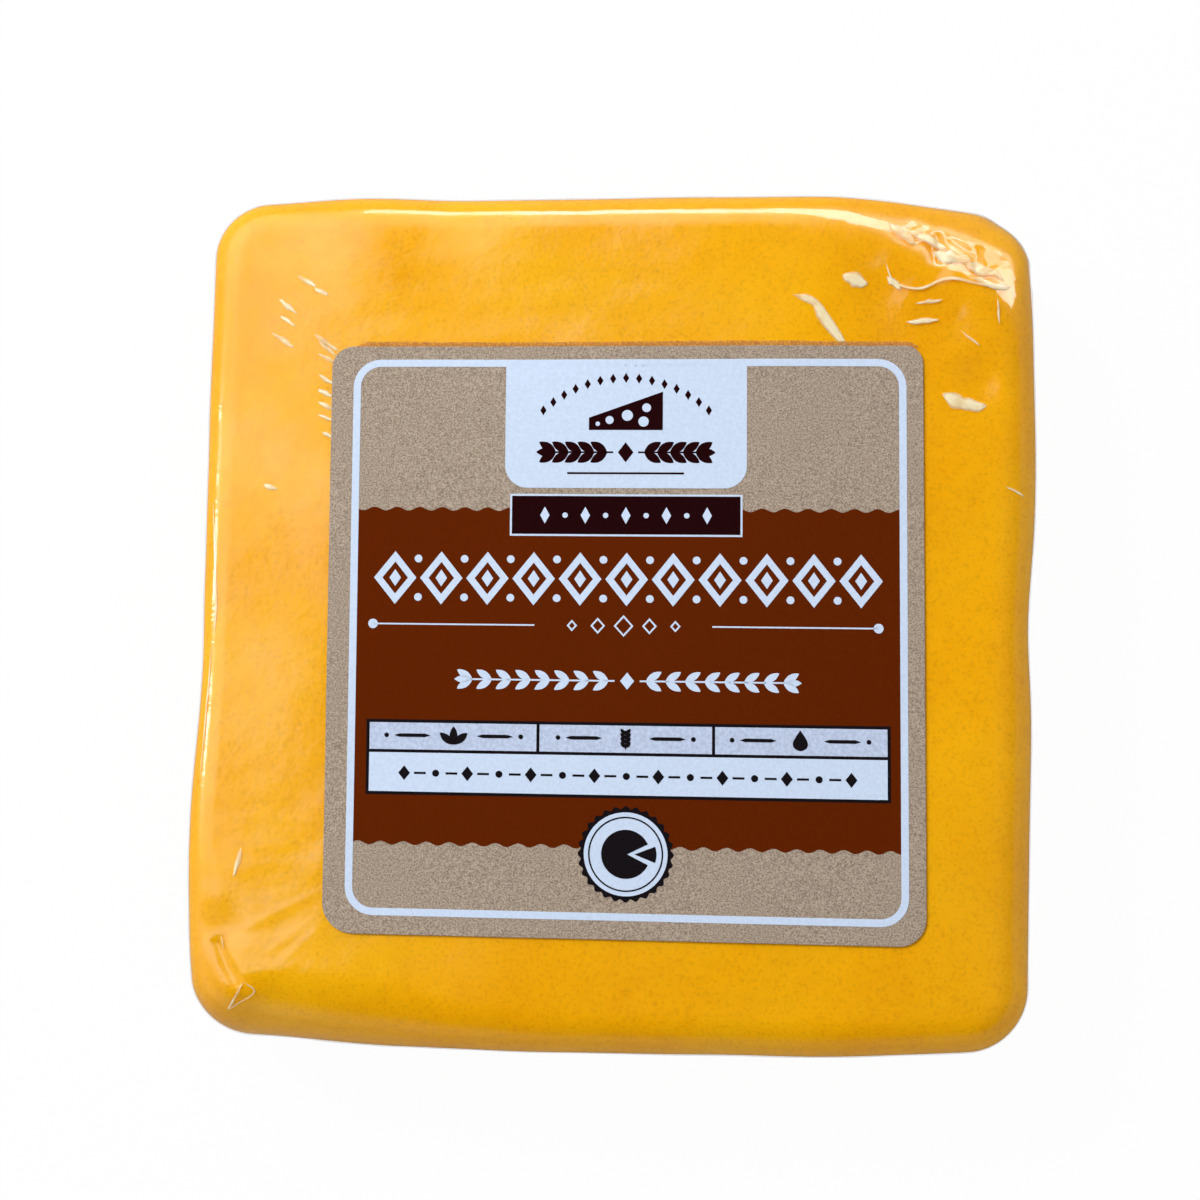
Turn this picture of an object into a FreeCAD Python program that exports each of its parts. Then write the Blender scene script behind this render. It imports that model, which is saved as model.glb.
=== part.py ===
import FreeCAD, Part
import math
import os

# A block of cheddar shut tightly in clear film, with one square paper label on its top face.
# It lies flat. All sizes are in millimetres. The origin is the middle of the underside,
# +X runs to the label's right edge, +Y to the label's top edge and +Z up.

# Block, over the film
block_width = 110.0         # X, over the widest part of both sides
block_depth = 112.0         # Y
block_height = 26.0         # Z
top_rounding = 5.5          # radius of the edge all round the top face
bottom_rounding = 5.0       # radius of the edge all round the underside

# How far each side of the outline lies inside the block's box, at even stations from one
# corner to the next: left and right run from front to back, front and back from left to right
left_inset = (0.8, 0.4, 1.7, 1.6, 2.0)
right_inset = (1.5, 1.2, 1.1, 0.0, 0.9)
front_inset = (1.6, 0.3, 0.0, 0.1, 1.4)
back_inset = (1.0, 0.4, 0.1, 0.3, 2.4)

# Radius of each upright corner, seen from above
corner_front_left = 8.0
corner_front_right = 8.5
corner_back_right = 11.5
corner_back_left = 8.0

# Label, a die-cut sticker of 3 inches with corners of 1/8 inch
label_size = 76.2
label_corner = 3.175
label_thickness = 0.2
label_shift_x = 2.3         # from the block's middle to the label's middle
label_shift_y = -3.4

same_place = 0.001          # two heights or lengths nearer than this are the same


def block_corners():
    """The outline's four sharp corners, where the end insets of two neighbouring sides meet."""
    half_x = block_width / 2
    half_y = block_depth / 2
    front_left = FreeCAD.Vector(-half_x + left_inset[0], -half_y + front_inset[0], 0)
    front_right = FreeCAD.Vector(half_x - right_inset[0], -half_y + front_inset[-1], 0)
    back_right = FreeCAD.Vector(half_x - right_inset[-1], half_y - back_inset[-1], 0)
    back_left = FreeCAD.Vector(-half_x + left_inset[-1], half_y - back_inset[0], 0)
    return front_left, front_right, back_right, back_left


def side(first, last, inset, inward):
    """One smooth edge from corner to corner that leaves the straight line by what the insets
    between the corners say, over the even change from the first inset to the last."""
    steps = len(inset) - 1
    points = []
    for i, depth in enumerate(inset):
        share = i / steps
        level = inset[0] + (inset[-1] - inset[0]) * share
        points.append(first + (last - first) * share + inward * (depth - level))
    curve = Part.BSplineCurve()
    curve.interpolate(points)
    return curve.toShape()


def block_outline():
    """The closed outline on the plane of the underside, with sharp corners."""
    front_left, front_right, back_right, back_left = block_corners()
    front = side(front_left, front_right, front_inset, FreeCAD.Vector(0, 1, 0))
    right = side(front_right, back_right, right_inset, FreeCAD.Vector(-1, 0, 0))
    back = side(back_left, back_right, back_inset, FreeCAD.Vector(0, -1, 0))
    left = side(front_left, back_left, left_inset, FreeCAD.Vector(1, 0, 0))
    return Part.Wire(Part.__sortEdges__([front, right, back, left]))


def upright_at(shape, corner):
    """The upright edge that stands nearest to the given corner."""
    def distance(edge):
        middle = edge.CenterOfMass
        return math.hypot(middle.x - corner.x, middle.y - corner.y)
    return min(shape.Edges, key=distance)


def loop_at(shape, height):
    """The edges whose two ends and middle all lie at one height: the loop round a flat face."""
    return [
        edge for edge in shape.Edges
        if abs(edge.CenterOfMass.z - height) < same_place
        and all(abs(end.Z - height) < same_place for end in edge.Vertexes)
    ]


def centred(shape):
    """The shape with the middle of its box over the origin. Its underside stays on z = 0."""
    box = shape.optimalBoundingBox(False)
    shape.translate(FreeCAD.Vector(-box.Center.x, -box.Center.y, 0))
    return shape


def wrapped_block():
    """The block in its film: the outline raised, its uprights rounded, then its two loops."""
    shape = Part.Face(block_outline()).extrude(FreeCAD.Vector(0, 0, block_height))
    radii = (corner_front_left, corner_front_right, corner_back_right, corner_back_left)
    for corner, radius in zip(block_corners(), radii):
        shape = shape.makeFillet(radius, [upright_at(shape, corner)])
    shape = shape.makeFillet(top_rounding, loop_at(shape, block_height))
    shape = shape.makeFillet(bottom_rounding, loop_at(shape, 0))
    return centred(shape)


def paper_label():
    """The label: a rounded square plate, its underside on the block's flat top face."""
    left = label_shift_x - label_size / 2
    front = label_shift_y - label_size / 2
    plate = Part.makeBox(label_size, label_size, label_thickness, FreeCAD.Vector(left, front, block_height))
    uprights = [edge for edge in plate.Edges if abs(edge.Length - label_thickness) < same_place]
    return plate.makeFillet(label_corner, uprights)


os.makedirs("parts", exist_ok=True)
nodes = {
    "wrapped_cheese": wrapped_block(),
    "label": paper_label(),
}
for name, shape in nodes.items():
    solid = shape.Solids[0]
    solid.exportStep("parts/" + name + ".step")
    box = solid.optimalBoundingBox(False)
    print(name, "valid:", solid.isValid(), "volume in cm3:", round(solid.Volume / 1000, 2))
    print("  from", round(box.XMin, 2), round(box.YMin, 2), round(box.ZMin, 2))
    print("  to", round(box.XMax, 2), round(box.YMax, 2), round(box.ZMax, 2))
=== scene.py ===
import math

import bpy
import numpy as np
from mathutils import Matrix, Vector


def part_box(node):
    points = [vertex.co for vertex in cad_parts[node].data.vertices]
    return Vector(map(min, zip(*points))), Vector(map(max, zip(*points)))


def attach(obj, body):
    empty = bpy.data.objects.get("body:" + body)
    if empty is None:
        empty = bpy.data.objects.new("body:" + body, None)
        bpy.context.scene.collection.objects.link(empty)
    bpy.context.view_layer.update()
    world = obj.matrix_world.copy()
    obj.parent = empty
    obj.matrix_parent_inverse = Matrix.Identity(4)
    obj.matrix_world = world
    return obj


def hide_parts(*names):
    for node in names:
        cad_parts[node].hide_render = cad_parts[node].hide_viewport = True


# A block of cheddar in tight clear film, with a printed paper label, seen from above.
# The CAD solids give the sizes. Everything below is worked out in millimetres and set down in metres.

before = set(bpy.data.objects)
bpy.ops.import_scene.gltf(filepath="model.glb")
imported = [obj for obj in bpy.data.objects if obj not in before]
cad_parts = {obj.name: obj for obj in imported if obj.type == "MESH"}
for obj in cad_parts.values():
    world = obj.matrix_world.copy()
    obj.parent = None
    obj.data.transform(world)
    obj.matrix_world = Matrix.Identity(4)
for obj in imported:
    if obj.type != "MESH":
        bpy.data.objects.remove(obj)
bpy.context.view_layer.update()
mm = 0.001

blockLow, blockHigh = [np.array(corner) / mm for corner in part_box("wrapped_cheese")]
labelLow, labelHigh = [np.array(corner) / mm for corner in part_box("label")]
blockMiddle = (blockLow + blockHigh) / 2
labelMiddle = (labelLow + labelHigh) / 2
labelHalf = (labelHigh[0] - labelLow[0]) / 2
print("frame loaded")


# A smooth curve through even stations: Catmull-Rom, where each span is a cubic whose end slopes
# are half the difference of the stations on either side. share runs from 0 to 1.
def throughStations(stations, share):
    values = np.array(stations, float)
    padded = np.concatenate([[2 * values[0] - values[1]], values, [2 * values[-1] - values[-2]]])
    along = np.clip(share, 0, 1) * (len(values) - 1)
    span = np.minimum(along.astype(int), len(values) - 2)
    t = along - span
    before, start, end, after = (padded[span + k] for k in range(4))
    cubic = 2 * start + (end - before) * t
    cubic += (2 * before - 5 * start + 4 * end - after) * t ** 2
    cubic += (3 * start - before - 3 * end + after) * t ** 3
    return cubic / 2


# 0 at the first edge, 1 at the second, and an even S between them
def easeBetween(first, second, value):
    t = np.clip((value - first) / (second - first), 0, 1)
    return t * t * (3 - 2 * t)


# The quads of a grid of place numbers, row by row
def gridQuads(number):
    corners = (number[:-1, :-1], number[1:, :-1], number[1:, 1:], number[:-1, 1:])
    return np.stack([corner.ravel() for corner in corners], axis=1)


# The faces between rings of as many places each, closed at either end by a fan to one more place
def ringFaces(rings, count):
    around = np.arange(count)
    following = (around + 1) % count
    starts = (np.arange(rings - 1) * count)[:, None]
    corners = (starts + around, starts + count + around, starts + count + following, starts + following)
    faces = np.stack([corner.ravel() for corner in corners], axis=1).tolist()
    last, ends = (rings - 1) * count, rings * count
    faces += np.stack([np.full(count, ends), around, following], axis=1).tolist()
    faces += np.stack([np.full(count, ends + 1), last + following, last + around], axis=1).tolist()
    return faces


# The mesh of a piece, from places in millimetres and faces that point outwards
def makePiece(name, places, faces, material, smooth=True):
    mesh = bpy.data.meshes.new(name)
    faces = faces if isinstance(faces, list) else faces.tolist()
    mesh.from_pydata((np.asarray(places) * mm).tolist(), [], faces)
    mesh.polygons.foreach_set("use_smooth", np.broadcast_to(smooth, len(faces)).tolist())
    mesh.materials.append(material)
    mesh.update()
    piece = bpy.data.objects.new(name, mesh)
    bpy.context.scene.collection.objects.link(piece)
    return piece


# Sides: how far each lies inside the block's box at even stations, left and right from front to
# back, front and back from left to right. Rounding: the radius of the top edge by compass angle.
block = {
    "leftInset": (1.2, 0.55, 0.5, 1.4, 1.85, 1.85, 1.8, 1.9, 2.3),
    "rightInset": (1.2, 0.9, 0.85, 0.5, 0.65, 0.0, -0.35, 0.1, 1.0),
    "frontInset": (1.3, 0.9, 0.15, -0.1, -0.2, -0.15, -0.3, 0.3, 1.5),
    "backInset": (1.6, 0.85, 0.8, 0.8, 0.5, 0.5, 0.55, 1.2, 2.6),
    "cornerRadius": {"frontLeft": 7.4, "frontRight": 7.6, "backRight": 7.0, "backLeft": 7.2},
    "topRound": {0: 4.6, 34: 5.0, 41: 8.0, 46: 12.0, 50: 9.5, 56: 6.6, 62: 5.0, 90: 4.8,
                 135: 4.2, 180: 3.4, 210: 3.8, 220: 6.0, 229: 10.0, 238: 9.0, 250: 6.4,
                 264: 5.2, 315: 5.0},
    "bottomRound": 4.5,
    "sideCrown": 0.35,          # how far the sides swell out at half height
    "firstTurns": 6,            # steps that draw the lattice onto the block
    "eveningTurns": 16,         # steps that also even it out
    "lastTurns": 4,
    "facetEdge": 1.6,           # how softly a flat facet meets the rest
    # flats where the film is drawn tight over the back right corner: a place on each, how many
    # degrees it slopes and the compass angle it faces
    "facets": (
        ((39.8, 50.2, 25.15), 25, 74),
        ((44.8, 47.4, 24.70), 26, 62),
        ((49.5, 45.4, 24.80), 27, 50),
    ),
}


# How far a place lies inside the outline seen from above: the lesser of its distances to the
# nearer left or right side and to the nearer front or back side, rounded where both are small
def planDepth(x, y):
    width = blockHigh[0] - blockLow[0]
    depth = blockHigh[1] - blockLow[1]
    alongX = (x - blockLow[0]) / width
    alongY = (y - blockLow[1]) / depth
    fromLeft = x - blockLow[0] - throughStations(block["leftInset"], alongY)
    fromRight = blockHigh[0] - x - throughStations(block["rightInset"], alongY)
    fromFront = y - blockLow[1] - throughStations(block["frontInset"], alongX)
    fromBack = blockHigh[1] - y - throughStations(block["backInset"], alongX)
    sideways = np.minimum(fromLeft, fromRight)
    lengthways = np.minimum(fromFront, fromBack)
    right = easeBetween(0.3, 0.7, alongX)
    back = easeBetween(0.3, 0.7, alongY)
    corner = block["cornerRadius"]
    front = corner["frontLeft"] * (1 - right) + corner["frontRight"] * right
    rear = corner["backLeft"] * (1 - right) + corner["backRight"] * right
    radius = front * (1 - back) + rear * back
    return roundedMeeting(sideways, lengthways, radius)


# Two depths joined with a round corner: the radius less the length of what both fall short of it,
# or the lesser depth where neither falls short
def roundedMeeting(first, second, radius):
    shortFirst = np.maximum(radius - first, 0)
    shortSecond = np.maximum(radius - second, 0)
    near = shortFirst + shortSecond > 0
    return np.where(near, radius - np.hypot(shortFirst, shortSecond), np.minimum(first, second))


# How far a place lies inside the whole block: its depth from the sides met roundly with its depth
# from the top or the underside
def blockDepth(places):
    x, y, z = places[:, 0], places[:, 1], places[:, 2]
    height = blockHigh[2] - blockLow[2]
    level = np.clip((z - blockLow[2]) / height, 0, 1)
    swell = block["sideCrown"] * (np.sin(math.pi * level) - 1)
    fromSides = planDepth(x, y) + swell
    angle = np.degrees(np.arctan2(y - blockMiddle[1], x - blockMiddle[0]))
    topRadius = np.interp(angle, list(block["topRound"]), list(block["topRound"].values()), period=360)
    fromTop = roundedMeeting(fromSides, blockHigh[2] - z, topRadius)
    for place, slope, facing in block["facets"]:
        slope, facing = math.radians(slope), math.radians(facing)
        lean = math.sin(slope)
        outOfFacet = np.array([math.cos(facing) * lean, math.sin(facing) * lean, math.cos(slope)])
        inside = (np.array(place) - places) @ outOfFacet
        fromTop = roundedMeeting(fromTop, inside, block["facetEdge"])
    fromBottom = roundedMeeting(fromSides, z - blockLow[2], block["bottomRound"])
    return np.where(z > blockMiddle[2], fromTop, fromBottom)


# How wide the finely divided margins of a lattice are, each from its own side of the block
fineEnds = {
    "left": labelLow[0] - blockLow[0],
    "right": blockHigh[0] - labelHigh[0] + 4.0,
    "front": 32.0,
    "back": 26.0,
}


# The way out of the block at each place: minus the slope of the depth, by small differences
def outward(places, step=0.02):
    slope = np.stack([
        blockDepth(places + np.eye(3)[k] * step) - blockDepth(places - np.eye(3)[k] * step)
        for k in range(3)
    ], axis=1) / (2 * step)
    return -slope / np.maximum(np.linalg.norm(slope, axis=1, keepdims=True), 1e-6)


# Grid lines that are fine near both ends and coarse between: the spacing at a place is fine plus
# the rest by an even S of its distance from the end, and the lines are even steps of its integral
def gradedLines(low, high, fine, coarse, lowMargin, highMargin):
    fill = np.linspace(low, high, 4001)
    middle = easeBetween(low + lowMargin - 1, low + lowMargin + 4, fill)
    middle *= 1 - easeBetween(high - highMargin - 4, high - highMargin + 1, fill)
    lines = np.concatenate([[0], np.cumsum(1 / (fine + (coarse - fine) * middle))[:-1]])
    count = int(round(lines[-1] * (fill[1] - fill[0])))
    return np.interp(np.linspace(0, lines[-1], count + 1), lines, fill)


# A closed box of grid lines: each crossing on its six faces once, and quads that face outwards
def closedLattice(xLines, yLines, zLines):
    counts = (len(xLines), len(yLines), len(zLines))
    i, j, k = np.indices(counts)
    last = [count - 1 for count in counts]
    shell = (i == 0) | (i == last[0]) | (j == 0) | (j == last[1]) | (k == 0) | (k == last[2])
    number = np.full(counts, -1)
    number[shell] = np.arange(shell.sum())
    places = np.stack([xLines[i[shell]], yLines[j[shell]], zLines[k[shell]]], axis=1)
    sheets = (
        (number[:, :, -1], False), (number[:, :, 0], True),
        (number[-1], False), (number[0], True),
        (number[:, 0], False), (number[:, -1], True),
    )
    quads = [gridQuads(sheet)[:, ::-1] if turned else gridQuads(sheet) for sheet, turned in sheets]
    return places, np.concatenate(quads)


# One step of each place along the way out towards a given depth
def steppedTo(places, depth):
    return places + outward(places) * (blockDepth(places) - depth)[:, None]


# Each place moved to the mean of the middles of the quads round it
def evenedOut(places, quads):
    corners = quads.ravel()
    middles = np.repeat(places[quads].mean(axis=1), 4, axis=0)
    sums = [np.bincount(corners, middles[:, axis]) for axis in range(3)]
    return np.column_stack(sums) / np.bincount(corners)[:, None]


# The lattice drawn onto the block: its places step along the way out until their depth is right,
# and are evened out on the way. It is fine beside the label and behind it.
def drawnOntoBlock(lattice, depth):
    ends = lattice["fineEnds"]
    spacing = (lattice["fine"], lattice["coarse"])
    xLines = gradedLines(blockLow[0], blockHigh[0], *spacing, ends["left"], ends["right"])
    yLines = gradedLines(blockLow[1], blockHigh[1], *spacing, ends["front"], ends["back"])
    rows = int(round((blockHigh[2] - blockLow[2]) / lattice["upright"]))
    zLines = np.linspace(blockLow[2], blockHigh[2], rows + 1)
    places, quads = closedLattice(xLines, yLines, zLines)
    for turn in range(block["firstTurns"]):
        places = steppedTo(places, depth)
    for turn in range(block["eveningTurns"]):
        places = evenedOut(steppedTo(places, depth), quads)
    for turn in range(block["lastTurns"]):
        places = steppedTo(places, depth)
    return places, outward(places), quads


# Gentle unevenness of the pressed cheese, as waves that cross it
unevenness = {
    "seed": 11,
    "waves": 14,
    "shortest": 16.0,
    "longest": 46.0,
    "height": 0.035,            # of each wave
    "underLabel": 0.35,         # share of it that is left under the label
    "labelEase": 6.0,           # how far inside the label's edge it has got that low
}


# The sum of seeded waves: for each a direction, a length and a phase, and a sine of the way along
# it, as high as the wave's length to a given power
def seededWaves(places, waves, power):
    random = np.random.default_rng(waves["seed"])
    lift = np.zeros(len(places))
    for wave in range(waves["waves"]):
        way = random.normal(size=3)
        way /= np.linalg.norm(way)
        length = random.uniform(waves["shortest"], waves["longest"])
        phase = random.uniform(0, 2 * math.pi)
        height = waves["height"] * (length / waves["longest"]) ** power
        lift += height * np.sin(places @ way * 2 * math.pi / length + phase)
    return lift


def pressedWaves(places):
    under = underLabel(places, unevenness["labelEase"])
    return seededWaves(places, unevenness, 0) * (1 - under * (1 - unevenness["underLabel"]))


# 1 on the top face well inside the label's outline, 0 outside it, easing over the given reach
def underLabel(places, reach):
    x = np.abs(places[:, 0] - labelMiddle[0])
    y = np.abs(places[:, 1] - labelMiddle[1])
    inside = labelHalf - np.maximum(x, y)
    return easeBetween(0, reach, inside) * (places[:, 2] > blockMiddle[2])


# A ridge or groove along a route of points: a tent with a rounded crest, or a soft bell, of the
# distance from the route, times a bulge that runs out to nothing at both ends. A route of flat
# points lies on the top face and goes over its edge.
def ridge(places, route, width, height, soft=False):
    route = np.array(route, float)
    spots = places[:, :route.shape[1]]
    reach = width * (2.5 if soft else 1.2)
    near = np.all((spots > route.min(0) - reach) & (spots < route.max(0) + reach), axis=1)
    if route.shape[1] == 2:
        near &= places[:, 2] > blockMiddle[2]
    lift = np.zeros(len(places))
    if not near.any():
        return lift
    runs = np.linalg.norm(np.diff(route, axis=0), axis=1)
    best = np.full(near.sum(), 1e9)
    share = np.zeros(near.sum())
    gone = 0.0
    for start, end, run in zip(route[:-1], route[1:], runs):
        t = np.clip((spots[near] - start) @ (end - start) / run ** 2, 0, 1)
        distance = np.linalg.norm(spots[near] - start - t[:, None] * (end - start), axis=1)
        share = np.where(distance < best, (gone + t * run) / runs.sum(), share)
        best = np.minimum(best, distance)
        gone += run
    taper = np.sin(math.pi * np.clip(share, 0, 1)) ** (0.6 if soft else 0.3)
    tent = np.clip(1.15 - np.hypot(best / width, 0.15), 0, 1)
    lift[near] = height * taper * (np.exp(-(best / width) ** 2) if soft else tent)
    return lift


# Flat-sided pleats of the film at the back right corner
pleating = {
    "seed": 8,
    "count": 4,
    "middle": (43.0, 45.0),
    "reach": 13.0,
    "spacing": 5.2,
    "height": 0.10,
}


# For each seeded direction a zigzag of the way along it, so that the surface breaks into flats,
# all eased out to nothing at the reach from the middle
def pleats(places):
    count = pleating["count"]
    random = np.random.default_rng(pleating["seed"])
    lift = np.zeros(len(places))
    for number in range(count):
        angle = math.pi * (number + random.uniform(0.2, 0.8)) / count
        length = pleating["spacing"] * random.uniform(0.7, 1.4)
        along = places[:, :2] @ np.array([math.cos(angle), math.sin(angle)]) / length + random.uniform()
        lift += np.abs(along - np.floor(along) - 0.5) * 2 * pleating["height"]
    distance = np.linalg.norm(places - np.array([*pleating["middle"], blockHigh[2]]), axis=1)
    return lift * easeBetween(1.0, 0.35, distance / pleating["reach"])


# A round hollow: minus a bell of the distance from its middle, which is on the top face unless a
# height is given
def hollow(places, middle, reach, depth):
    middle = np.array(list(middle) + [blockHigh[2]] if len(middle) == 2 else middle, float)
    distance = np.linalg.norm(places - middle, axis=1)
    return -depth * np.exp(-(distance / reach) ** 2)


# Dents that the cheese and its film share: middle, reach and depth. A negative depth is a swelling.
dents = (
    ((47.5, 30.0), 3.2, 0.45),
    ((34.0, 40.5), 5.0, 0.30),
    ((43.5, 38.0), 3.5, 0.30),
    ((-49.5, -41.0), 3.0, 0.45),
    ((-54.5, 8.0, 18.0), 5.0, 0.35),
    ((53.5, -2.0, 19.0), 7.0, 0.25),
    ((-46.0, 20.0), 8.0, 0.15),
    ((-31.0, 49.5), 9.0, -0.45),
    ((-16.0, 49.0), 6.0, -0.22),
    ((-34.0, -52.0), 9.0, -0.25),
)
# Sharp grooves that both share, as routes over the top face, each with a width and a depth
grooves = (
    (((37.4, 49.0), (39.2, 51.0)), 0.45, -0.16),
    (((39.0, 48.4), (40.8, 50.4)), 0.45, -0.16),
    (((42.2, 49.8), (42.5, 45.4)), 0.80, -0.36),
    (((47.4, 48.0), (47.2, 44.2)), 0.80, -0.36),
    (((47.7, 43.9), (49.8, 47.2)), 0.40, -0.16),
    (((47.9, 43.8), (51.1, 45.8)), 0.40, -0.16),
    (((43.6, 49.0), (46.8, 46.8)), 0.50, -0.14),
    (((-49.8, -42.0), (-48.3, -45.2), (-46.4, -48.2)), 1.0, -0.45),
)


# What the cheese and the film share. The cheese's own grooves are roomier than the film's.
def cheeseRelief(places, room=1.0, leastWidth=0):
    lift = pressedWaves(places)
    for middle, reach, depth in dents:
        lift += hollow(places, middle, reach, depth)
    for route, width, depth in grooves:
        lift += ridge(places, route, max(width * room, leastWidth), depth * room)
    return lift


# Sharp folds that stand on the film, as routes over the top face, each with a width. Each is coloured with a
# painted highlight, a pale cream glint.
cornerFolds = (
    (((36.2, 51.4), (37.9, 49.6), (39.6, 48.4)), 0.80),
    (((38.4, 50.6), (41.2, 49.4), (43.6, 47.8)), 0.90),
    (((41.6, 47.4), (44.0, 46.6), (46.6, 46.8)), 1.20),
    (((45.6, 45.6), (48.4, 45.2), (50.8, 44.2)), 1.10),
    (((46.6, 43.9), (49.4, 42.9), (51.8, 43.4)), 0.80),
    (((35.4, 45.6), (36.6, 42.9), (39.8, 42.0), (43.2, 43.3), (46.8, 43.0), (50.6, 42.4)), 0.30),
    (((35.6, 43.6), (37.4, 41.9)), 0.55),
    (((39.2, 40.1), (42.8, 40.6)), 0.30),
    (((38.0, 37.7), (42.4, 38.0)), 0.45),
    (((49.9, 41.2), (50.0, 37.4)), 0.20),
    (((23.4, 41.4), (26.4, 40.2), (28.4, 37.4), (30.9, 33.9)), 0.85),
    (((29.9, 43.9), (33.2, 42.6)), 1.05),
    (((42.6, 28.4), (45.2, 27.0), (48.4, 26.8)), 1.15),
    (((45.0, 36.6), (47.5, 34.6)), 0.18),
    (((50.6, 16.4), (54.2, 15.2)), 0.20),
)
leftFolds = (
    (((-43.4, 41.0), (-40.8, 38.9)), 0.34),
    (((-43.2, 38.8), (-41.0, 37.3)), 0.26),
    (((-44.2, 36.5), (-41.2, 34.5)), 0.38),
    (((-38.6, 36.3), (-35.3, 34.0)), 0.36),
    (((-38.0, 35.4), (-35.6, 33.4)), 0.30),
    (((-38.7, 42.4), (-36.8, 41.4)), 0.36),
    (((-41.0, 44.1), (-38.3, 42.5)), 0.36),
    (((-38.0, 33.7), (-35.5, 32.5)), 0.34),
    (((-37.9, 31.0), (-35.7, 29.6)), 0.34),
    (((-38.0, 29.0), (-35.6, 27.9)), 0.32),
    (((-37.9, 27.4), (-35.6, 26.2)), 0.32),
    (((-37.9, 25.7), (-35.8, 24.9)), 0.30),
    (((-37.3, 23.4), (-35.8, 22.7)), 0.28),
    (((-44.8, 16.5), (-42.9, 15.9)), 0.36),
    (((-52.2, 14.8), (-51.2, 8.0), (-50.7, 1.0), (-50.9, -3.0)), 0.22),
    (((-51.4, -3.8), (-52.2, -12.0), (-52.8, -21.8)), 0.20),
    (((-46.4, -30.3), (-47.4, -34.2)), 0.34),
    (((-45.8, -47.4), (-47.1, -50.3), (-48.8, -53.8)), 0.22),
    (((-45.8, -47.4), (-44.4, -49.0), (-46.3, -51.2), (-48.8, -53.8)), 0.22),
    (((-49.0, -41.6), (-48.7, -43.6)), 0.20),
)
# Long soft creases that run out from the label's front left corner
fan = {
    "seed": 5,
    "count": 12,
    "firstAngle": 172,
    "turn": 5.5,
    "firstPlace": 14.0,         # along the label's left edge from its front corner
    "spacing": 1.3,
    "length": (7, 14),
    "width": (0.6, 1.1),
    "height": (0.03, 0.08),
}
# Fine creases over the sides and the underside
scattered = {
    "count": 150,
    "onSides": 0.55,            # share of them on the sides
    "level": 0.4,               # share of those that lie rather than stand
    "lean": 0.5,
    "height": (0.05, 0.16),
    "width": (0.3, 0.7),
    "length": (2.5, 9),
    "sidesAt": (54.6, 55.6),
    "sideHeights": (4, 21),
    "undersideTo": (50, 51),
}


# The film's own fine ripple, as short low waves
ripple = {"seed": 3, "waves": 12, "shortest": 2.6, "longest": 7.5, "height": 0.0096}


# The fan of soft creases: each starts a step further along the label's edge and turns a step more
def fanOfCreases(places, random):
    lift = np.zeros(len(places))
    for number in range(fan["count"]):
        angle = math.radians(fan["firstAngle"] + number * fan["turn"] + random.uniform(-3, 3))
        start = np.array([labelLow[0] + 1.0, labelLow[1] + fan["firstPlace"] - number * fan["spacing"]])
        end = start + random.uniform(*fan["length"]) * np.array([math.cos(angle), math.sin(angle)])
        width, height = random.uniform(*fan["width"]), random.uniform(*fan["height"])
        lift += ridge(places, (start, end), width, height, True)
    return lift


# One fine crease in a seeded place and direction: on a side, leaning from upright or from level,
# or on the underside
def scatteredCrease(places, random):
    onSide = random.uniform() < scattered["onSides"]
    height = random.uniform(*scattered["height"])
    width = random.uniform(*scattered["width"])
    length = random.uniform(*scattered["length"])
    if onSide:
        angle = random.uniform(0, 2 * math.pi)
        across, along = scattered["sidesAt"]
        reach = 1 / max(abs(math.cos(angle)) / across, abs(math.sin(angle)) / along)
        place = [math.cos(angle) * reach, math.sin(angle) * reach, random.uniform(*scattered["sideHeights"])]
        middle = np.array(place)
        level = np.array([0, 1, 0]) if abs(middle[0]) > abs(middle[1]) else np.array([1, 0, 0])
        upright = np.array([0, 0, 1])
        lean = random.normal(0, scattered["lean"])
        way = level * math.sin(lean) + upright * math.cos(lean)
        if random.uniform() < scattered["level"]:
            way = level * math.cos(lean) + upright * math.sin(lean)
    else:
        across, along = scattered["undersideTo"]
        middle = np.array([random.uniform(-across, across), random.uniform(-along, along), 0.0])
        turn = random.uniform(0, math.pi)
        way = np.array([math.cos(turn), math.sin(turn), 0])
    half = way * length / 2
    return ridge(places, (middle - half, middle + half), width, height, True)


# All that the film adds to the cheese's relief, less and less of it at the label's edge and where
# the block rests on its underside
def filmRelief(places):
    random = np.random.default_rng(fan["seed"])
    lift = seededWaves(places, ripple, 1) + pleats(places) + fanOfCreases(places, random)
    for number in range(scattered["count"]):
        lift += scatteredCrease(places, random)
    return lift * (1 - underLabel(places, 0.5)) * easeBetween(0, 1.2, places[:, 2])


def newMaterial(name):
    material = bpy.data.materials.new(name)
    material.use_nodes = True
    material.node_tree.nodes.clear()
    return material, material.node_tree.nodes, material.node_tree.links


# A noise read from Object coordinates, stretched by the Mapping node's scale
def noiseNode(nodes, links, scale, detail=3.0, roughness=0.5, stretch=(1, 1, 1), turn=0.0):
    coordinates = nodes.new("ShaderNodeTexCoord")
    mapping = nodes.new("ShaderNodeMapping")
    mapping.inputs["Scale"].default_value = stretch
    mapping.inputs["Rotation"].default_value = (0, 0, turn)
    noise = nodes.new("ShaderNodeTexNoise")
    noise.inputs["Scale"].default_value = scale
    noise.inputs["Detail"].default_value = detail
    noise.inputs["Roughness"].default_value = roughness
    links.new(coordinates.outputs["Object"], mapping.inputs["Vector"])
    links.new(mapping.outputs["Vector"], noise.inputs["Vector"])
    return noise.outputs["Fac"]


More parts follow.
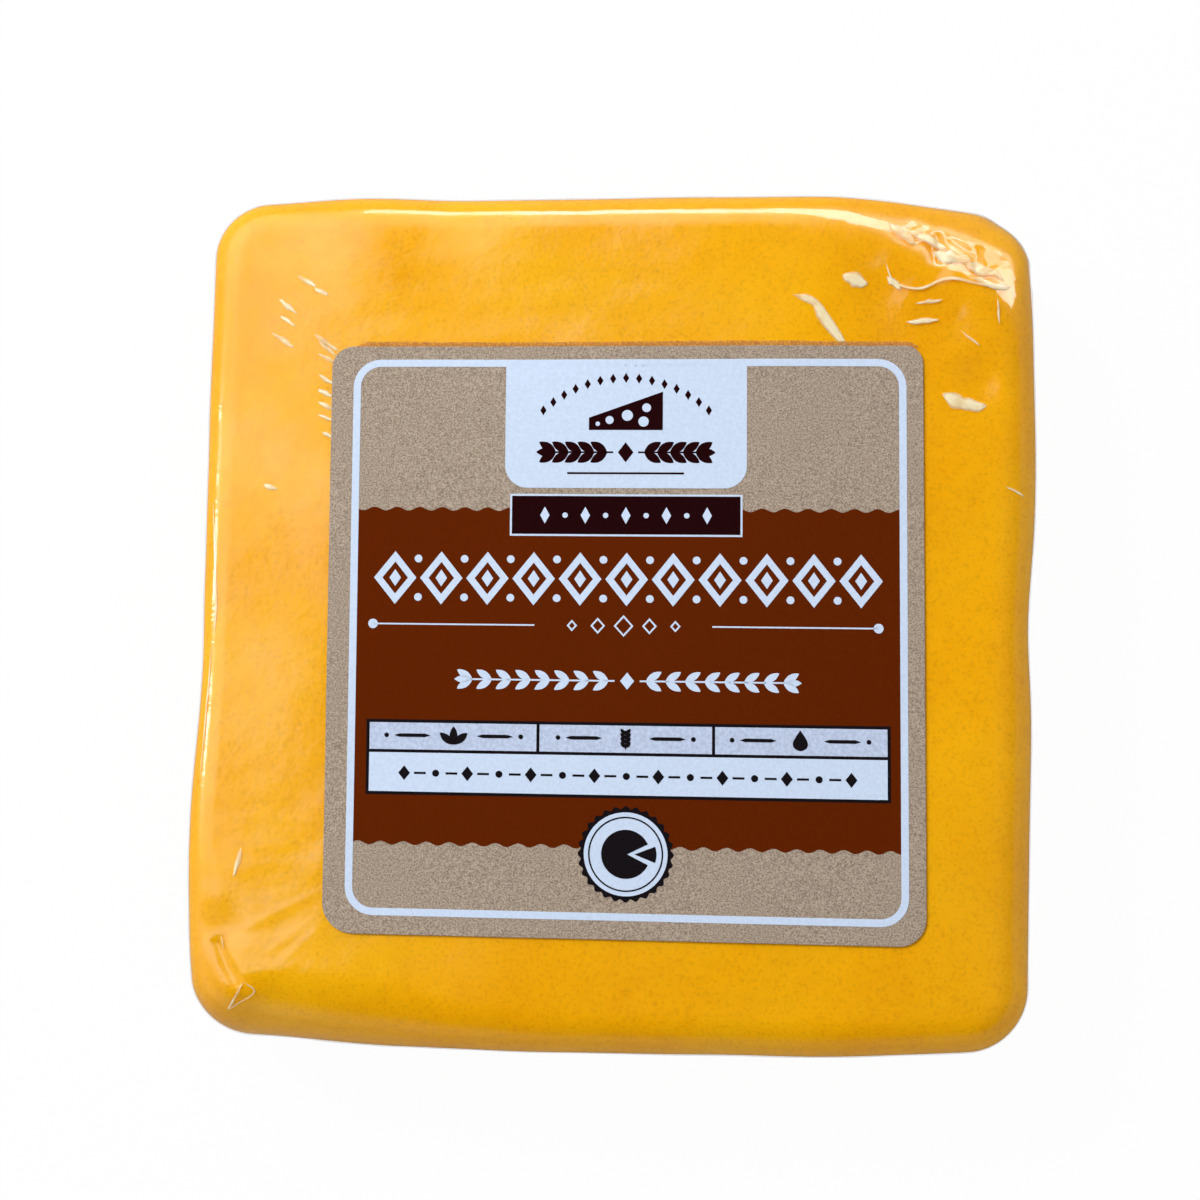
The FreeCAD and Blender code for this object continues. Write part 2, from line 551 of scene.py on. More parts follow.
# A ramp of colours over a value: pairs of place and colour
def rampNode(nodes, links, value, stops):
    ramp = nodes.new("ShaderNodeValToRGB")
    ramp.color_ramp.elements[0].position = stops[0][0]
    ramp.color_ramp.elements[0].color = (*stops[0][1], 1)
    ramp.color_ramp.elements[1].position = stops[-1][0]
    ramp.color_ramp.elements[1].color = (*stops[-1][1], 1)
    for place, colour in stops[1:-1]:
        ramp.color_ramp.elements.new(place).color = (*colour, 1)
    links.new(value, ramp.inputs["Fac"])
    return ramp.outputs["Color"]


def mixColours(nodes, links, share, first, second, blend="MIX"):
    mix = nodes.new("ShaderNodeMix")
    mix.data_type = "RGBA"
    mix.blend_type = blend
    for socket, source in zip((mix.inputs[0], mix.inputs[6], mix.inputs[7]), (share, first, second)):
        if isinstance(source, bpy.types.NodeSocket):
            links.new(source, socket)
        elif isinstance(source, tuple):
            socket.default_value = (*source, 1)
        else:
            socket.default_value = source
    return mix.outputs[2]


def bumpNode(nodes, links, height, strength, distance):
    bump = nodes.new("ShaderNodeBump")
    bump.inputs["Strength"].default_value = strength
    bump.inputs["Distance"].default_value = distance
    links.new(height, bump.inputs["Height"])
    return bump.outputs["Normal"]


# A plain surface: a colour and a bump, with how rough and how shiny it is
def plainSurface(nodes, links, colour, normal, roughness, specular):
    shader = nodes.new("ShaderNodeBsdfPrincipled")
    output = nodes.new("ShaderNodeOutputMaterial")
    links.new(colour, shader.inputs["Base Color"])
    links.new(normal, shader.inputs["Normal"])
    shader.inputs["Roughness"].default_value = roughness
    shader.inputs["Specular IOR Level"].default_value = specular
    links.new(shader.outputs[0], output.inputs["Surface"])
    return shader


# A see-through surface: nothing at all mixed with a shader by the share of it
def clearSurface(nodes, links, share, shader):
    output = nodes.new("ShaderNodeOutputMaterial")
    mix = nodes.new("ShaderNodeMixShader")
    clear = nodes.new("ShaderNodeBsdfTransparent")
    links.new(share, mix.inputs[0])
    links.new(clear.outputs[0], mix.inputs[1])
    links.new(shader.outputs[0], mix.inputs[2])
    links.new(mix.outputs[0], output.inputs["Surface"])


def mathNode(nodes, links, operation, *values):
    node = nodes.new("ShaderNodeMath")
    node.operation = operation
    for socket, value in zip(node.inputs, values):
        if isinstance(value, bpy.types.NodeSocket):
            links.new(value, socket)
        else:
            socket.default_value = value
    return node.outputs[0]


cheese = {
    "deep": (0.94, 0.405, 0.001),
    "body": (0.98, 0.455, 0.002),
    "pale": (1.0, 0.495, 0.004),
    "roughness": 0.20,
    "specular": 0.28,           # low, because the film over it does the shining
    "clearance": 0.14,          # from the film's smooth surface
    "grooveRoom": 1.5,          # how much wider and deeper its grooves are than the film's
    "grooveWidth": 1.5,         # the least width of one, so that the cheese stays under the film
    "lattice": {"fine": 0.8, "coarse": 2.0, "upright": 1.0, "fineEnds": fineEnds},
}


# Clouds of deeper and paler cheese, darkened by fine curd and finer pores
def cheeseMaterial():
    material, nodes, links = newMaterial("cheddar")
    clouds = noiseNode(nodes, links, 38, 4, 0.55)
    stops = ((0.32, cheese["deep"]), (0.5, cheese["body"]), (0.7, cheese["pale"]))
    body = rampNode(nodes, links, clouds, stops)
    curd = noiseNode(nodes, links, 420, 3, 0.6)
    speck = rampNode(nodes, links, curd, ((0.3, (0.93, 0.90, 0.80)), (0.55, (1, 1, 1))))
    speckled = mixColours(nodes, links, 0.6, body, speck, "MULTIPLY")
    grain = noiseNode(nodes, links, 2300, 2, 0.6)
    pores = rampNode(nodes, links, grain, ((0.33, (0.80, 0.75, 0.75)), (0.48, (1, 1, 1))))
    colour = mixColours(nodes, links, 0.6, speckled, pores, "MULTIPLY")
    normal = bumpNode(nodes, links, curd, 0.25, 0.0002)
    shader = plainSurface(nodes, links, colour, normal, cheese["roughness"], cheese["specular"])
    shader.inputs["Subsurface Weight"].default_value = 0.12
    shader.inputs["Subsurface Radius"].default_value = (1.0, 0.45, 0.1)
    shader.inputs["Subsurface Scale"].default_value = 0.002
    return material


def makeCheese():
    places, out, quads = drawnOntoBlock(cheese["lattice"], cheese["clearance"])
    places += out * cheeseRelief(places, cheese["grooveRoom"], cheese["grooveWidth"])[:, None]
    places[:, 2] = np.maximum(places[:, 2], blockLow[2] + cheese["clearance"])
    return makePiece("cheese", places, quads, cheeseMaterial())


film = {
    "roughness": 0.07,
    "headOn": 0.050,            # share of light its two surfaces mirror when looked at straight
    "clinging": 0.45,           # what is left of that where it clings wetly to the cheese
    "edgeOn": 0.30,             # and along its surface, both sides alike
    "lattice": {"fine": 0.31, "coarse": 2.4, "upright": 0.80, "fineEnds": fineEnds},
}


# Clear film: see-through mixed with gloss, whose share grows as the fifth power of how much the
# film is seen edge on, from patches where it clings wetly and patches where it stands off
def filmMaterial():
    material, nodes, links = newMaterial("clear film")
    shine = nodes.new("ShaderNodeBsdfGlossy")
    shine.inputs["Roughness"].default_value = film["roughness"]
    facing = nodes.new("ShaderNodeLayerWeight")
    facing.inputs["Blend"].default_value = 0.5
    pucker = noiseNode(nodes, links, 260, 3, 0.55)
    normal = bumpNode(nodes, links, pucker, 0.25, 0.0003)
    links.new(normal, shine.inputs["Normal"])
    links.new(normal, facing.inputs["Normal"])
    cling = noiseNode(nodes, links, 55, 4, 0.55)
    wet = film["headOn"] * film["clinging"]
    patches = rampNode(nodes, links, cling, ((0.36, (wet,) * 3), (0.60, (film["headOn"],) * 3)))
    grazing = mathNode(nodes, links, "POWER", facing.outputs["Facing"], 5.0)
    rise = film["edgeOn"] - film["headOn"]
    clearSurface(nodes, links, mathNode(nodes, links, "MULTIPLY_ADD", grazing, rise, patches), shine)
    return material


def makeFilm():
    places, out, quads = drawnOntoBlock(film["lattice"], 0.0)
    places += out * (cheeseRelief(places) + filmRelief(places))[:, None]
    places[:, 2] = np.maximum(places[:, 2], blockLow[2])
    return makePiece("film", places, quads, filmMaterial())


folds = {
    "seed": 11,
    "alongSteps": 41,
    "acrossSteps": 13,
    "stations": 7,              # places along each rim where it changes its way
    "crest": 0.12,              # how round the crest is, as a share of the width
    "taper": 0.75,              # below one for round ends, above it for pointed ones
    "ragged": 0.42,             # how much its two rims wander
    "steepness": 0.14,          # height as a share of the width
    "foot": 0.02,               # how far the rim of a fold sinks into the film
    "sink": 0.06,               # and its underside
    "rimWidth": 2.0,            # the larger, the harder the edge of its painted glint
    "roughness": 0.12,
    # the pale and the deeper cream of the folds' painted highlight
    "glintPale": (1.00, 0.88, 0.58),
    "glintDeep": (1.00, 0.76, 0.38),
}


# Flat places carried onto the film: onto the block, then out by the relief and a lift of their own
def onFilm(flat, lift):
    places = np.column_stack([flat, np.full(len(flat), blockHigh[2])])
    for turn in range(6):
        places = places + outward(places) * blockDepth(places)[:, None]
    lift = lift + cheeseRelief(places) + filmRelief(places)
    return places + outward(places) * lift[:, None]


# A fold as a profile along a route: a tent with a rounded crest over a flat underside. Its width
# and height follow a power of a half wave of its length, its two rims wander from station to
# station, and a single place closes each end. Its share of painted glint, a painted highlight,
# fades towards the rims.
def foldMesh(route, width, random):
    route = np.array(route, float)
    share = (1 - np.cos(np.linspace(0, math.pi, folds["alongSteps"]))) / 2
    spine = np.column_stack([throughStations(route[:, axis], share) for axis in range(2)])
    way = np.gradient(spine, axis=0)
    way /= np.linalg.norm(way, axis=1, keepdims=True)
    side = np.column_stack([-way[:, 1], way[:, 0]])
    bulge = np.clip(np.sin(math.pi * share), 0.001, 1) ** folds["taper"]
    stations = np.linspace(0, 1, folds["stations"])
    wander = 1 + folds["ragged"] * random.uniform(-1, 1, (2, folds["stations"]))
    left, right = [np.interp(share, stations, rim)[:, None] for rim in wander]
    top = np.linspace(-1, 1, folds["acrossSteps"])
    under = np.linspace(0.9, -0.9, 5)
    crest = folds["crest"]
    tent = (math.hypot(1, crest) - np.hypot(top, crest)) / (math.hypot(1, crest) - crest)
    across = np.concatenate([top, under])
    rise = bulge[:, None] * np.concatenate([tent, 0 * under]) * width * folds["steepness"]
    rise = rise - np.where(np.arange(len(across)) < len(top), folds["foot"], folds["sink"])
    reach = bulge[:, None] * width * across * np.where(across < 0, left, right)
    flat = spine[:, None] + side[:, None] * reach[..., None]
    flat = np.concatenate([flat.reshape(-1, 2), spine[[0, -1]]])
    places = onFilm(flat, np.append(rise.ravel(), [-folds["foot"]] * 2))
    count = len(across)
    smooth = np.tile(np.arange(count) < len(top) - 1, len(spine) - 1).tolist() + [False] * 2 * count
    paintedGlint = np.clip(folds["rimWidth"] * (1 - np.abs(across)), 0, 1) * np.clip(bulge * 2, 0, 1)[:, None]
    return places, ringFaces(len(spine), count), smooth, np.append(paintedGlint.ravel(), [0, 0])


# Painted highlight on the folds: the clear film mixed with a pale cream diffuse by the piece's own
# attribute, so that each fold shows as a glint whatever the lamps do
def paintedGlintMaterial():
    material, nodes, links = newMaterial("creased film")
    paintedGlint = nodes.new("ShaderNodeAttribute")
    paintedGlint.attribute_name = "paintedGlint"
    pale = nodes.new("ShaderNodeBsdfPrincipled")
    pale.inputs["Roughness"].default_value = folds["roughness"]
    grain = noiseNode(nodes, links, 330, 2, 0.5)
    colours = rampNode(nodes, links, grain, ((0.35, folds["glintDeep"]), (0.60, folds["glintPale"])))
    links.new(colours, pale.inputs["Base Color"])
    patches = rampNode(nodes, links, grain, ((0.30, (0.45,) * 3), (0.60, (0.85,) * 3)))
    share = mathNode(nodes, links, "MULTIPLY", paintedGlint.outputs["Fac"], patches)
    clearSurface(nodes, links, share, pale)
    return material


def makeFolds():
    places, faces, smooth, paintedGlint, count = [], [], [], [], 0
    random = np.random.default_rng(folds["seed"])
    for route, width in cornerFolds + leftFolds:
        spots, sides, flags, share = foldMesh(route, width, random)
        places.append(spots)
        paintedGlint.append(share)
        faces += [[corner + count for corner in side] for side in sides]
        smooth += flags
        count += len(spots)
    piece = makePiece("film_folds", np.concatenate(places), faces, paintedGlintMaterial(), smooth)
    # each place's share of the painted highlight
    layer = piece.data.attributes.new("paintedGlint", "FLOAT", "POINT")
    layer.data.foreach_set("value", np.concatenate(paintedGlint).tolist())
    return piece


label = {
    "cornerShift": {            # how the soft top pulls each corner out of square
        "backLeft": (-0.25, -0.1), "backRight": (-0.15, -0.1),
        "frontRight": (0.3, -0.25), "frontLeft": (0.05, 0.45),
    },
    "cornerRadius": {"backLeft": 2.8, "backRight": 2.3, "frontRight": 3.5, "frontLeft": 3.9},
    "thickness": 0.2,
    "edge": 0.05,               # how much of its cut rim slopes in
    "layer": 0.02,              # how far each layer of print stands over the one below
    "kraftDark": (0.225, 0.170, 0.130),
    "kraft": (0.375, 0.298, 0.230),
    "kraftPale": (0.515, 0.420, 0.330),
}


# A place on the label, from the label's middle, to its place on the block: the corner shifts are
# shared out by how near each corner is, and the height is the film's, plus a lift
def onLabel(x, y, lift):
    right = (x / labelHalf + 1) / 2
    back = (y / labelHalf + 1) / 2
    shift = label["cornerShift"]
    shares = {
        "backLeft": (1 - right) * back, "backRight": right * back,
        "frontLeft": (1 - right) * (1 - back), "frontRight": right * (1 - back),
    }
    moveX = sum(share * shift[corner][0] for corner, share in shares.items())
    moveY = sum(share * shift[corner][1] for corner, share in shares.items())
    flat = np.stack([x + moveX + labelMiddle[0], y + moveY + labelMiddle[1]], axis=-1)
    ground = np.column_stack([flat.reshape(-1, 2), np.full(flat.size // 2, blockHigh[2])])
    height = blockHigh[2] + cheeseRelief(ground) + lift
    return np.column_stack([ground[:, :2], height])


# A rounded square's outline, anticlockwise from the right of its back right corner: four quarter
# circles, each round its own centre, joined by straight runs cut into even steps
def roundedLoop(left, right, front, back, radii, cornerSteps=10, sideSteps=24):
    centres = (
        (right - radii[0], back - radii[0], 0), (left + radii[1], back - radii[1], 90),
        (left + radii[2], front + radii[2], 180), (right - radii[3], front + radii[3], 270),
    )
    turn = np.radians(np.linspace(0, 90, cornerSteps + 1))
    arcs = []
    for (x, y, start), radius in zip(centres, radii):
        angle = turn + math.radians(start)
        arcs.append(np.column_stack([x + radius * np.cos(angle), y + radius * np.sin(angle)]))
    loop = []
    for arc, following in zip(arcs, arcs[1:] + arcs[:1]):
        run = np.linspace(0, 1, sideSteps + 1)[1:-1, None]
        loop += [arc, arc[-1] + run * (following[0] - arc[-1])]
    return np.concatenate(loop)


# The label as rings of its own outline: shrunk towards the middle on top, full size down the rim,
# and shrunk again underneath, with a single place at each middle
def makeLabel():
    corners = ("backRight", "backLeft", "frontLeft", "frontRight")
    radii = [label["cornerRadius"][corner] for corner in corners]
    loop = roundedLoop(-labelHalf, labelHalf, -labelHalf, labelHalf, radii, 10, 60)
    top, edge = label["thickness"], label["edge"]
    rings = [(size, top) for size in np.linspace(0.02, 1, 34)[:-1]]
    rings += [(1 - edge / labelHalf, top), (1, top - edge), (1, 0), (0.98, 0), (0.5, 0), (0.02, 0)]
    places = [onLabel(loop[:, 0] * size, loop[:, 1] * size, lift) for size, lift in rings]
    places += [onLabel(np.zeros(1), np.zeros(1), lift) for lift in (top, 0)]
    faces = ringFaces(len(rings), len(loop))
    return makePiece("label_paper", np.concatenate(places), faces, kraftMaterial(), False)


# Kraft paper: fine grain from dark to pale, with darker threads of fibre that lie aslant
def kraftMaterial():
    material, nodes, links = newMaterial("kraft paper")
    grain = noiseNode(nodes, links, 4800, 2, 0.7)
    stops = ((0.36, label["kraftDark"]), (0.5, label["kraft"]), (0.64, label["kraftPale"]))
    paper = rampNode(nodes, links, grain, stops)
    fibre = noiseNode(nodes, links, 700, 3, 0.6, (1, 0.5, 1), 0.6)
    threads = rampNode(nodes, links, fibre, ((0.28, (0.80, 0.78, 0.76)), (0.40, (1, 1, 1))))
    colour = mixColours(nodes, links, 0.35, paper, threads, "MULTIPLY")
    plainSurface(nodes, links, colour, bumpNode(nodes, links, grain, 0.3, 0.00006), 0.7, 0.08)
    return material


inks = {
    "white": (0.61, 0.72, 0.90),
    "brown": (0.112, 0.0155, 0.0004),
    "maroon": (0.0145, 0.0016, 0.0022),
    "black": (0.008, 0.006, 0.008),
    "grey": (0.52, 0.60, 0.78),
}


# Matt ink that the paper's grain shows through, as a ramp from a little darker to a little paler
def inkMaterial(name, colour, mottle):
    material, nodes, links = newMaterial(name + " ink")
    grain = noiseNode(nodes, links, 2200, 2, 0.6)
    low = tuple(part * (1 - mottle) for part in colour)
    high = tuple(min(part * (1 + mottle), 1) for part in colour)
    tint = rampNode(nodes, links, grain, ((0.3, low), (0.7, high)))
    plainSurface(nodes, links, tint, bumpNode(nodes, links, grain, 0.2, 0.00004), 0.6, 0.02)
    return material


# A patch between two lines of as many places, filled with even steps that follow the label
def patch(lower, upper, widest=1.2):
    lower = np.array(lower, float)
    upper = np.array(upper, float)
    steps = max(1, int(np.ceil(np.linalg.norm(upper - lower, axis=1).max() / widest)))
    share = np.linspace(0, 1, steps + 1)[None, :, None]
    return lower[:, None] + (upper - lower)[:, None] * share


def bar(left, right, front, back):
    x = np.linspace(left, right, max(2, int((right - left) / 1.2) + 2))
    return patch(np.column_stack([x, np.full_like(x, front)]), np.column_stack([x, np.full_like(x, back)]))


# A form along a line from start to end, whose half width at each share of its length is a formula
def spindle(start, end, halfWidth, steps=17):
    share = (1 - np.cos(np.linspace(0, math.pi, steps))) / 2
    start, end = np.array(start, float), np.array(end, float)
    spine = start + (end - start) * share[:, None]
    across = np.array([start[1] - end[1], end[0] - start[0]]) / np.linalg.norm(end - start)
    reach = halfWidth(share)[:, None] * across
    return patch(spine - reach, spine + reach)


def lozenge(x, y, width, height):
    ends = ((x - width / 2, y), (x + width / 2, y))
    return spindle(*ends, lambda t: height / 2 * (1 - np.abs(2 * t - 1)), 9)


def disc(x, y, radius, steps=17):
    ends = ((x - radius, y), (x + radius, y))
    return spindle(*ends, lambda t: radius * np.sqrt(np.clip(4 * t * (1 - t), 0, 1)), steps)


def leaf(x, y, length, width, degrees):
    way = np.array([math.cos(math.radians(degrees)), math.sin(math.radians(degrees))])
    start = np.array([x, y])
    return spindle(start, start + way * length, lambda t: width / 2 * np.sin(math.pi * t) ** 0.8, 11)


# A loop with its first place again at the end
def closedLoop(loop):
    return np.concatenate([loop, loop[:1]])


def ringPatch(outer, inner):
    return patch(closedLoop(inner), closedLoop(outer))


# A patch that fans out from one place to a rim
def fannedPatch(middle, rim):
    return patch(np.repeat([middle], len(rim), axis=0), rim)


def lozengeRing(x, y, width, height, stroke):
    turn = np.array([(1, 0), (0, 1), (-1, 0), (0, -1)], float)
    fill = np.concatenate([np.linspace(a, b, 5)[:-1] for a, b in zip(turn, np.roll(turn, -1, axis=0))])
    slant = stroke * math.hypot(width, height)
    outer = fill * (width / 2, height / 2) + (x, y)
    inner = fill * (width / 2 - slant / height, height / 2 - slant / width) + (x, y)
    return ringPatch(outer, inner)


# One ink's patches at one layer, joined into one piece and given the thickness of its print. A
# patch whose area comes out negative is turned over.
def makePrint(name, patches, layer, material):
    places, quads, count = [], [], 0
    for grid in patches:
        rows, columns = grid.shape[:2]
        flat = grid.reshape(-1, 2)
        places.append(onLabel(flat[:, 0], flat[:, 1], label["thickness"] + layer * label["layer"]))
        faces = gridQuads(np.arange(rows * columns).reshape(rows, columns) + count)
        down = grid[1:, :-1] - grid[:-1, :-1]
        along = grid[:-1, 1:] - grid[:-1, :-1]
        area = (down[..., 0] * along[..., 1] - down[..., 1] * along[..., 0]).sum()
        quads.append(faces if area > 0 else faces[:, ::-1])
        count += rows * columns
    piece = makePiece(name, np.concatenate(places), np.concatenate(quads), material, False)
    wall = piece.modifiers.new("print thickness", "SOLIDIFY")
    wall.thickness = label["layer"] * 1.5 * mm
    wall.offset = -1
    return piece


# The print, in millimetres from the label's middle
artwork = {
    "frame": {"left": -35.25, "right": 35.95, "front": -35.7, "back": 36.35, "line": 0.95, "radius": 3.6},
    "band": {"front": -26.45, "back": 16.75, "wave": 2.93, "depth": 0.24},
    "tab": {"left": -15.4, "right": 15.65, "front": 19.55, "radius": 2.9},
    "wedge": {"level": 29.6, "width": 9.5, "height": 5.0},
    "arc": {"level": 18.4, "radius": 15.5, "count": 15, "turn": 6.2},
    "tabStem": {"reach": 11.5, "level": 24.2, "leaf": 2.5, "width": 1.15, "pairs": 5},
    "tabLine": {"reach": 7.5, "front": 21.35, "back": 21.6},
    "banner": {"left": -14.7, "right": 15.1, "front": 13.3, "back": 18.75, "edge": 0.26},
    "bannerMarks": {"count": 9, "spacing": 2.6, "level": 16.0},
    "frieze": {"left": -32.4, "right": 33.1, "middle": 7.75, "height": 6.9, "count": 11, "stroke": 0.85,
               "dotsAt": 2.5},
    "rule": {"level": 1.75, "left": -32.2, "right": 32.3, "gapLeft": -11.4, "gapRight": 11.3,
             "line": 0.2, "dot": 0.62, "stroke": 0.22,
             "lozenges": ((-6.6, 1.5), (-3.3, 2.1), (0, 2.8), (3.3, 2.1), (6.6, 1.5))},
    "stem": {"left": -21.6, "right": 22.6, "level": -5.3, "leaf": 2.3, "width": 0.95, "pairs": 8},
    "table": {"left": -32.8, "right": 33.75, "front": -20.25, "back": -10.6, "divider": -14.65,
              "columns": (-10.8, 11.5), "line": 0.4},
    "tableRow": {"count": 15, "spacing": 4.05},
    "strip": {"left": -35.0, "right": 37.4, "width": 0.62, "overlap": 0.2, "roundEnd": 1.5},
    "seal": {"x": 0.45, "y": -27.3, "radius": 5.9, "scallops": 28, "scallopDepth": 0.2, "rim": 0.6,
             "ring": (1.15, 1.35), "wheel": 3.1},
}


def frameLine():
    size = artwork["frame"]
    line = size["line"]
    sides = [size[side] for side in ("left", "right", "front", "back")]
    outer = roundedLoop(*sides, [size["radius"]] * 4, 8, 60)
    inset = [sides[0] + line, sides[1] - line, sides[2] + line, sides[3] - line]
    inner = roundedLoop(*inset, [size["radius"] - line] * 4, 8, 60)
    return ringPatch(outer, inner)


# The brown field: its front and back edges are scallops, a plain wave with rounded crests
def brownBand():
    size, rim = artwork["band"], artwork["frame"]
    x = np.arange(rim["left"] + rim["line"] / 2, rim["right"] - rim["line"] / 2, 0.24)
    wave = size["depth"] * np.cos(2 * math.pi * x / size["wave"])
    back = np.column_stack([x, size["back"] + wave])
    front = np.column_stack([x, size["front"] - wave])
    return patch(front, back)


# The tab that hangs from the frame: a sheet whose half width narrows round its two front corners
def tabSheet():
    size, rim = artwork["tab"], artwork["frame"]
    radius = size["radius"]
    turn = np.radians(np.linspace(0, 90, 11))
    straight = np.linspace(size["front"] + radius, rim["back"] - rim["line"] / 2, 14)[1:]
    y = np.concatenate([size["front"] + radius * (1 - np.cos(turn)), straight])
    cut = np.concatenate([radius * (1 - np.sin(turn)), np.zeros(13)])
    left = np.column_stack([size["left"] + cut, y])
    right = np.column_stack([size["right"] - cut, y])
    return patch(left, right)


# The holes of the wedge: how far from its middle as shares of its width and height, and how wide
wedgeHoles = (
    (-0.22, -0.24, 0.055), (0.02, -0.12, 0.075), (0.28, 0.08, 0.06), (0.24, -0.28, 0.07),
    (-0.38, -0.34, 0.03),
)


# A wedge of cheese from the side: a level foot and a sloping top, and apart from it its holes
def wedgeIcon(x, y, width, height):
    span = np.linspace(-width / 2, width / 2, 9)
    foot = np.column_stack([x + span, np.full(9, y - height / 2)])
    slope = np.column_stack([x + span, y - height * 0.18 + height * 0.68 * (span / width + 0.5)])
    holes = [disc(x + width * over, y + height * up, width * wide) for over, up, wide in wedgeHoles]
    return patch(foot, slope), holes


# A garland: a thin stem with leaves in pairs that point away from its middle
def garland(left, right, level, length, width, pairs):
    middle = (left + right) / 2
    shapes = [bar(left + length, middle - 1.6, level - 0.11, level + 0.11)]
    shapes.append(bar(middle + 1.6, right - length, level - 0.11, level + 0.11))
    for side, end in ((-1, left), (1, right)):
        for x in np.linspace(middle + side * 2.4, end - side * length, pairs):
            for degrees in (32, -32):
                shapes.append(leaf(x, level, length, width, degrees if side > 0 else 180 - degrees))
        shapes.append(leaf(end - side * length, level, length, width, 0 if side > 0 else 180))
    return shapes


# A circle round the seal's middle, from one angle to another, with scallops as a wave of its radius
def sealRim(radius, steps, depth=0.0, start=0, end=360, shift=0.0):
    size = artwork["seal"]
    angle = np.radians(np.linspace(start, end, steps + 1))
    reach = radius + depth * np.cos(size["scallops"] * angle)
    return np.column_stack([size["x"] + shift + reach * np.cos(angle), size["y"] + reach * np.sin(angle)])


# A strip that shows beyond the label's back edge, grainy tan and part clear: a bar with a slightly wandering
# rim
def tanEdgeStrip():
    size = artwork["strip"]
    x = np.linspace(size["left"], size["right"], 90)
    wander = 0.05 * np.sin(x * 0.13) + 0.015 * np.sin(x * 0.9 + 1)
    fromEnd = np.minimum(x - size["left"], size["right"] - x)
    outer = labelHalf + (size["width"] + wander) * np.clip(fromEnd / size["roundEnd"], 0, 1) ** 0.5
    inner = np.full_like(x, labelHalf - size["overlap"])
    return patch(np.column_stack([x, inner]), np.column_stack([x, outer]))


# Grainy tan strip: part clear and part tan, by a fine noise
def tanStripMaterial():
    material, nodes, links = newMaterial("glue")
    tan = nodes.new("ShaderNodeBsdfDiffuse")
    grain = noiseNode(nodes, links, 4200, 2, 0.6)
    colours = rampNode(nodes, links, grain, ((0.35, (0.50, 0.20, 0.05)), (0.65, (0.80, 0.42, 0.14))))
    links.new(colours, tan.inputs["Color"])
    share = rampNode(nodes, links, grain, ((0.35, (0.62,) * 3), (0.65, (0.18,) * 3)))
    clearSurface(nodes, links, share, tan)
    return material


# The frame and the tab, a row of ringed lozenges with dots between, the broken rule with small
# lozenges in its gap, and a stem of leaves
def whiteShapes():
    frieze, rule, stem = artwork["frieze"], artwork["rule"], artwork["stem"]
    shapes = [frameLine(), tabSheet()]
    pitch = (frieze["right"] - frieze["left"]) / frieze["count"]
    for number in range(frieze["count"]):
        x = frieze["left"] + pitch * (number + 0.5)
        shapes.append(lozengeRing(x, frieze["middle"], pitch * 0.92, frieze["height"], frieze["stroke"]))
        shapes.append(lozenge(x, frieze["middle"], 1.5, 2.2))
    for number in range(1, frieze["count"]):
        x = frieze["left"] + pitch * number
        shapes += [disc(x, frieze["middle"] + side * frieze["dotsAt"], 0.5) for side in (-1, 1)]
    level, half = rule["level"], rule["line"] / 2
    for start, end, dot in (("left", "gapLeft", "left"), ("gapRight", "right", "right")):
        shapes.append(bar(rule[start], rule[end], level - half, level + half))
        shapes.append(disc(rule[dot], level, rule["dot"]))
    for x, height in rule["lozenges"]:
        shapes.append(lozengeRing(x, level, height * 0.9, height, rule["stroke"]))
    shapes += garland(*stem.values())
    shapes.append(lozenge(0.5, stem["level"], 1.8, 2.2))
    return shapes


# The banner, and on the tab the wedge, an arc of lozenges over it, a stem of leaves and a line
def maroonShapes(wedge, middle):
    banner, arc = artwork["banner"], artwork["arc"]
    stem, line = artwork["tabStem"], artwork["tabLine"]
    edge = banner["edge"]
    left, right = banner["left"] + edge, banner["right"] - edge
    shapes = [bar(left, right, banner["front"] + edge, banner["back"] - edge), wedge]
    for number in range(arc["count"]):
        angle = math.radians(90 + (number - arc["count"] // 2) * arc["turn"])
        x = middle + arc["radius"] * math.cos(angle)
        y = arc["level"] + arc["radius"] * math.sin(angle)
        shapes.append(lozenge(x, y, 0.8, 1.3))
    ends = (middle - stem["reach"], middle + stem["reach"])
    shapes += garland(*ends, stem["level"], stem["leaf"], stem["width"], stem["pairs"])
    shapes.append(lozenge(middle, stem["level"], 2.0, 2.6))
    shapes.append(bar(middle - line["reach"], middle + line["reach"], line["front"], line["back"]))
    return shapes


# The table's white lower row, the seal's face, and turn about a lozenge and a dot on the banner
def upperWhiteShapes():
    table, seal = artwork["table"], artwork["seal"]
    banner, marks = artwork["banner"], artwork["bannerMarks"]
    line = table["line"]
    left, right = table["left"] + line, table["right"] - line
    shapes = [bar(left, right, table["front"] + line, table["divider"] - line / 2)]
    shapes.append(fannedPatch((seal["x"], seal["y"]), sealRim(seal["radius"] - seal["rim"], 72)))
    for number in range(marks["count"]):
        x = (banner["left"] + banner["right"]) / 2 + (number - marks["count"] // 2) * marks["spacing"]
        mark = disc(x, marks["level"], 0.35) if number % 2 else lozenge(x, marks["level"], 1.2, 2.2)
        shapes.append(mark)
    return shapes


# The three grey cells of the table's upper row, between the edges of its columns
def greyShapes(edges):
    table = artwork["table"]
    line, last = table["line"], len(edges) - 2
    shapes = []
    for number in range(last + 1):
        left = edges[number] + (line / 2 if number else 0)
        right = edges[number + 1] - (line / 2 if number < last else 0)
        shapes.append(bar(left, right, table["divider"] + line / 2, table["back"] - line))
    return shapes


